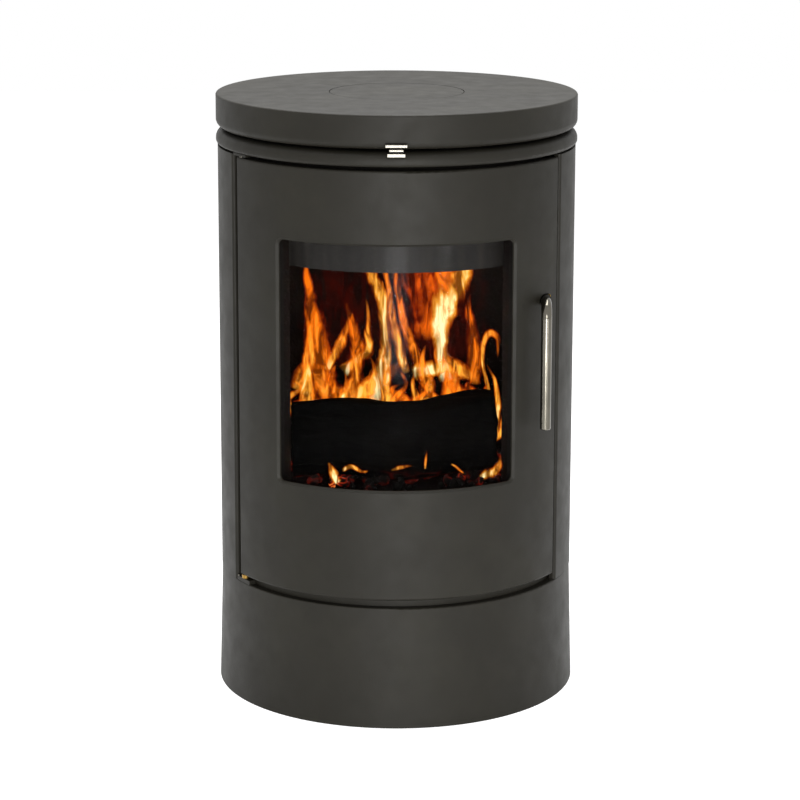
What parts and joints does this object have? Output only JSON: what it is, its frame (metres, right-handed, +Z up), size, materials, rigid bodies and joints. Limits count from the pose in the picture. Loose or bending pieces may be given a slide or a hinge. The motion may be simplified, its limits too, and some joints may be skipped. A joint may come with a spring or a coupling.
{
  "type": "wood stove",
  "caption": "Round upright cast iron wood stove with a curved glazed door, rod handle, air knob, ash pan, grate, rear flue outlet and plain plinth.",
  "frame": {"origin": "on the floor, on the stove's upright axis", "axes": "+Z up, -Y is the front, where the door faces, +X is the handle's side"},
  "size_m": [0.4529, 0.4989, 0.752],
  "materials": {
    "cast_iron_outer": "fine sand texture under satin heat-proof paint",
    "cast_iron_inner": "rough, sooty",
    "painted_sheet": "satin black paint on sheet steel",
    "fire_brick": "rough pressed board, sooty",
    "stove_glass": "clear ceramic glass, polished",
    "glass_fibre": "braided",
    "polished_steel": "polished",
    "brass": "turned",
    "black_steel": "blackened"
  },
  "bodies": {
    "stove_body": {"air_wash_plate": "painted_sheet", "air_wash_screws": "black_steel", "base_plate": "cast_iron_inner", "blanking_bolts": "black_steel", "blanking_plate": "cast_iron_inner", "firebox_drum": "cast_iron_inner", "firebox_lid": "cast_iron_inner", "flue_bolts": "black_steel", "flue_spigot": "cast_iron_outer", "frame_screws": "black_steel", "front_frame": "cast_iron_inner", "hearth_plate": "cast_iron_inner", "hinge_screw": "polished_steel", "keeper_screw": "black_steel", "latch_keeper": "cast_iron_inner", "left_brick": "fire_brick", "left_side_panel": "cast_iron_outer", "log_guard": "cast_iron_inner", "lower_hinge_bracket": "cast_iron_outer", "pan_rails": "painted_sheet", "plinth": "cast_iron_outer", "plinth_bolts": "black_steel", "rear_brick": "fire_brick", "rear_panel": "painted_sheet", "rear_panel_screws": "black_steel", "right_brick": "fire_brick", "right_side_panel": "cast_iron_outer", "smoke_baffle": "fire_brick", "tie_rod_nuts": "black_steel", "tie_rods": "black_steel", "top_plate": "cast_iron_outer", "top_ring": "cast_iron_outer", "upper_hinge_bracket": "cast_iron_outer"},
    "flue_cover": {"flue_cover": "cast_iron_outer"},
    "air_control": {"air_slide": "painted_sheet", "air_control_knob": "cast_iron_outer"},
    "grate": {"riddling_grate": "cast_iron_inner", "riddle_lever": "cast_iron_inner"},
    "ash_pan": {"ash_pan": "painted_sheet", "ash_pan_handle": "painted_sheet"},
    "door": {"door_casting": "cast_iron_outer", "door_glass": "stove_glass", "glass_gasket": "glass_fibre", "door_rope_gasket": "glass_fibre", "glass_clips": "black_steel", "clip_screws": "black_steel", "hinge_pins": "polished_steel", "hinge_washer": "brass", "handle_bush": "brass"},
    "handle": {"door_handle": "polished_steel", "latch_cam": "cast_iron_inner", "cam_nut": "black_steel"}
  },
  "joints": [
    {"name": "door_swing", "type": "hinge", "parent": "stove_body", "child": "door", "pos_m": [-0.18686, -0.11228, 0.42], "axis": [0, 0, -1], "range_deg": [0, 120]},
    {"name": "handle_turn", "type": "hinge", "parent": "door", "child": "handle", "pos_m": [0.1815, -0.12, 0.5145], "axis": [0, -1, 0], "range_deg": [0, 60]},
    {"name": "air_control_turn", "type": "hinge", "parent": "stove_body", "child": "air_control", "pos_m": [0, 0, 0.69], "axis": [0, 0, 1], "range_deg": [-12, 12]},
    {"name": "grate_turn", "type": "hinge", "parent": "stove_body", "child": "grate", "pos_m": [0, 0, 0.265], "axis": [0, 0, 1], "range_deg": [-14, 14]},
    {"name": "ash_pan_slide", "type": "slide", "parent": "stove_body", "child": "ash_pan", "axis": [0, -1, 0], "range_m": [0, 0.21]},
    {"name": "flue_cover_lift", "type": "slide", "parent": "stove_body", "child": "flue_cover", "axis": [0, 0, 1], "range_m": [0, 0.06]}
  ],
  "couplings": [
    {"joint": "ash_pan_slide", "follows": "door_swing", "m_per_rad": 0.1}
  ]
}
